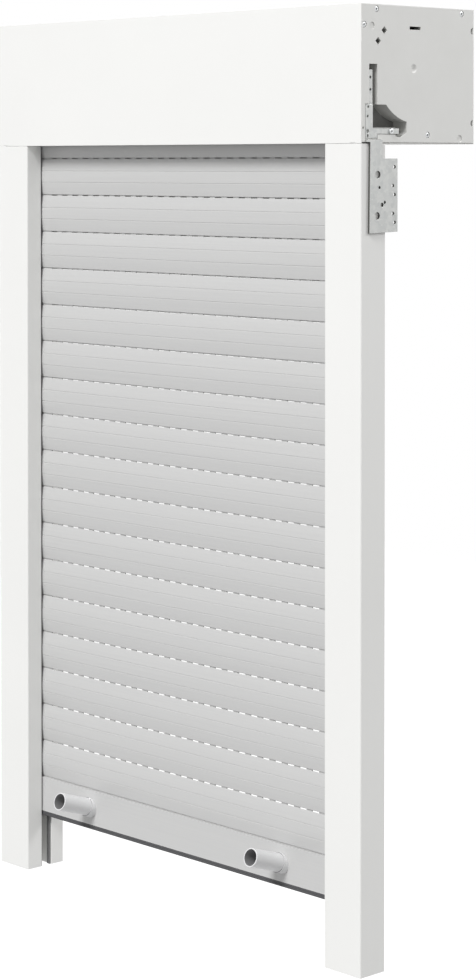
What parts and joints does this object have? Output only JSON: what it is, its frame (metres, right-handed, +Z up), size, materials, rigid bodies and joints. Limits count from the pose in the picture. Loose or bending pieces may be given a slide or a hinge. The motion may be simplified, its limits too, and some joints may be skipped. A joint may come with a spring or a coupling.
{
  "type": "exterior roller shutter",
  "caption": "Exterior roller shutter: box with motor roller, side guide rails, slatted curtain with light slots, bottom bar with stop buffers and perforated fixing brackets",
  "frame": {"origin": "middle of the width, on the underside of the box, in the middle of its depth", "axes": "+X to the right seen from the front, +Y back towards the wall, +Z up"},
  "size_m": [0.726, 0.2394, 1.2028],
  "materials": {
    "white_paint": "smooth white powder coat on sheet and extruded aluminium",
    "slat_grey": "light grey satin coating",
    "cast_grey": "pale coating on die-cast aluminium",
    "zinc_sheet": "galvanised steel sheet",
    "screw_steel": "zinc-plated steel",
    "bright_steel": "drawn steel",
    "seal_rubber": "matt black rubber",
    "seal_grey": "soft grey plastic lip",
    "black_plastic": "moulded black plastic",
    "buffer_plastic": "moulded light grey plastic"
  },
  "bodies": {
    "frame": {"front_panel": "white_paint", "top_panel": "white_paint", "back_panel": "white_paint", "bottom_cover": "white_paint", "end_plate_right": "cast_grey", "end_plate_left": "cast_grey", "end_plate_screws": "screw_steel", "bracket_arm_right": "zinc_sheet", "bracket_arm_left": "zinc_sheet", "bracket_plate_right": "zinc_sheet", "bracket_plate_left": "zinc_sheet", "bracket_screws": "screw_steel", "rail_right": "white_paint", "rail_left": "white_paint", "rail_seal_right": "seal_grey", "rail_seal_left": "seal_grey", "inlet_guide_right": "black_plastic", "inlet_guide_left": "black_plastic", "idler_bearing": "bright_steel", "motor_head": "black_plastic", "motor_tube": "bright_steel"},
    "roller": {"roller_tube": "zinc_sheet", "crown_ring": "black_plastic", "drive_adapter": "black_plastic", "drive_shaft": "bright_steel", "idler_cap": "black_plastic", "idler_pin": "bright_steel", "hanger_straps": "bright_steel"},
    "bar": {"bottom_bar": "slat_grey", "bottom_seal": "seal_rubber", "stop_buffer_right": "buffer_plastic", "stop_buffer_left": "buffer_plastic", "buffer_screws": "screw_steel"},
    "slat_01_body": {"slat_01": "slat_grey"},
    "slat_02_body": {"slat_02": "slat_grey"},
    "slat_03_body": {"slat_03": "slat_grey"},
    "slat_04_body": {"slat_04": "slat_grey"},
    "slat_05_body": {"slat_05": "slat_grey"},
    "slat_06_body": {"slat_06": "slat_grey"},
    "slat_07_body": {"slat_07": "slat_grey"},
    "slat_08_body": {"slat_08": "slat_grey"},
    "slat_09_body": {"slat_09": "slat_grey"},
    "slat_10_body": {"slat_10": "slat_grey"},
    "slat_11_body": {"slat_11": "slat_grey"},
    "slat_12_body": {"slat_12": "slat_grey"},
    "slat_13_body": {"slat_13": "slat_grey"},
    "slat_14_body": {"slat_14": "slat_grey"},
    "slat_15_body": {"slat_15": "slat_grey"},
    "slat_16_body": {"slat_16": "slat_grey"},
    "slat_17_body": {"slat_17": "slat_grey"},
    "slat_18_body": {"slat_18": "slat_grey"},
    "slat_19_body": {"slat_19": "slat_grey"}
  },
  "joints": [
    {"name": "curtain_travel", "type": "slide", "parent": "frame", "child": "bar", "axis": [0, 0, 1], "range_m": [-0.073, 0.9045], "deforming": ["slat_01", "slat_02", "slat_03", "slat_04", "slat_05", "slat_06", "slat_07", "slat_08", "slat_09", "slat_10", "slat_11", "slat_12", "slat_13", "slat_14", "slat_15", "slat_16", "slat_17", "slat_18", "slat_19"]},
    {"name": "roller_turn", "type": "hinge", "parent": "frame", "child": "roller", "pos_m": [0, -0.009, 0.094], "axis": [-1, 0, 0], "range_deg": [-80, 952]},
    {"name": "slat_01_travel", "type": "slide", "parent": "frame", "child": "slat_01_body", "axis": [0, 0, 1], "range_m": [-0.074, 0.9055]},
    {"name": "slat_02_travel", "type": "slide", "parent": "frame", "child": "slat_02_body", "axis": [0, 0, 1], "range_m": [-0.0703, 0.8592]},
    {"name": "slat_03_travel", "type": "slide", "parent": "frame", "child": "slat_03_body", "axis": [0, 0, 1], "range_m": [-0.0665, 0.8128]},
    {"name": "slat_04_travel", "type": "slide", "parent": "frame", "child": "slat_04_body", "axis": [0, 0, 1], "range_m": [-0.0628, 0.7665]},
    {"name": "slat_05_travel", "type": "slide", "parent": "frame", "child": "slat_05_body", "axis": [0, 0, 1], "range_m": [-0.059, 0.7201]},
    {"name": "slat_06_travel", "type": "slide", "parent": "frame", "child": "slat_06_body", "axis": [0, 0, 1], "range_m": [-0.0553, 0.6738]},
    {"name": "slat_07_travel", "type": "slide", "parent": "frame", "child": "slat_07_body", "axis": [0, 0, 1], "range_m": [-0.0516, 0.6275]},
    {"name": "slat_08_travel", "type": "slide", "parent": "frame", "child": "slat_08_body", "axis": [0, 0, 1], "range_m": [-0.0478, 0.5811]},
    {"name": "slat_09_travel", "type": "slide", "parent": "frame", "child": "slat_09_body", "axis": [0, 0, 1], "range_m": [-0.0441, 0.5348]},
    {"name": "slat_10_travel", "type": "slide", "parent": "frame", "child": "slat_10_body", "axis": [0, 0, 1], "range_m": [-0.0403, 0.4885]},
    {"name": "slat_11_travel", "type": "slide", "parent": "frame", "child": "slat_11_body", "axis": [0, 0, 1], "range_m": [-0.0366, 0.4421]},
    {"name": "slat_12_travel", "type": "slide", "parent": "frame", "child": "slat_12_body", "axis": [0, 0, 1], "range_m": [-0.0329, 0.3958]},
    {"name": "slat_13_travel", "type": "slide", "parent": "frame", "child": "slat_13_body", "axis": [0, 0, 1], "range_m": [-0.0291, 0.3494]},
    {"name": "slat_14_travel", "type": "slide", "parent": "frame", "child": "slat_14_body", "axis": [0, 0, 1], "range_m": [-0.0254, 0.3031]},
    {"name": "slat_15_travel", "type": "slide", "parent": "frame", "child": "slat_15_body", "axis": [0, 0, 1], "range_m": [-0.0216, 0.2568]},
    {"name": "slat_16_travel", "type": "slide", "parent": "frame", "child": "slat_16_body", "axis": [0, 0, 1], "range_m": [-0.0179, 0.2104]},
    {"name": "slat_17_travel", "type": "slide", "parent": "frame", "child": "slat_17_body", "axis": [0, 0, 1], "range_m": [-0.0142, 0.1641]},
    {"name": "slat_18_travel", "type": "slide", "parent": "frame", "child": "slat_18_body", "axis": [0, 0, 1], "range_m": [-0.0104, 0.1178]},
    {"name": "slat_19_travel", "type": "slide", "parent": "frame", "child": "slat_19_body", "axis": [0, 0, 1], "range_m": [-0.0067, 0.0714]}
  ],
  "couplings": [
    {"joint": "roller_turn", "follows": "curtain_travel", "rad_per_m": 18.18},
    {"joint": "slat_01_travel", "follows": "curtain_travel", "ratio": 1},
    {"joint": "slat_02_travel", "follows": "curtain_travel", "ratio": 0.94877},
    {"joint": "slat_03_travel", "follows": "curtain_travel", "ratio": 0.89754},
    {"joint": "slat_04_travel", "follows": "curtain_travel", "ratio": 0.84631},
    {"joint": "slat_05_travel", "follows": "curtain_travel", "ratio": 0.79508},
    {"joint": "slat_06_travel", "follows": "curtain_travel", "ratio": 0.74385},
    {"joint": "slat_07_travel", "follows": "curtain_travel", "ratio": 0.69262},
    {"joint": "slat_08_travel", "follows": "curtain_travel", "ratio": 0.64139},
    {"joint": "slat_09_travel", "follows": "curtain_travel", "ratio": 0.59016},
    {"joint": "slat_10_travel", "follows": "curtain_travel", "ratio": 0.53893},
    {"joint": "slat_11_travel", "follows": "curtain_travel", "ratio": 0.4877},
    {"joint": "slat_12_travel", "follows": "curtain_travel", "ratio": 0.43647},
    {"joint": "slat_13_travel", "follows": "curtain_travel", "ratio": 0.38524},
    {"joint": "slat_14_travel", "follows": "curtain_travel", "ratio": 0.33401},
    {"joint": "slat_15_travel", "follows": "curtain_travel", "ratio": 0.28278},
    {"joint": "slat_16_travel", "follows": "curtain_travel", "ratio": 0.23155},
    {"joint": "slat_17_travel", "follows": "curtain_travel", "ratio": 0.18032},
    {"joint": "slat_18_travel", "follows": "curtain_travel", "ratio": 0.12909},
    {"joint": "slat_19_travel", "follows": "curtain_travel", "ratio": 0.07786}
  ]
}
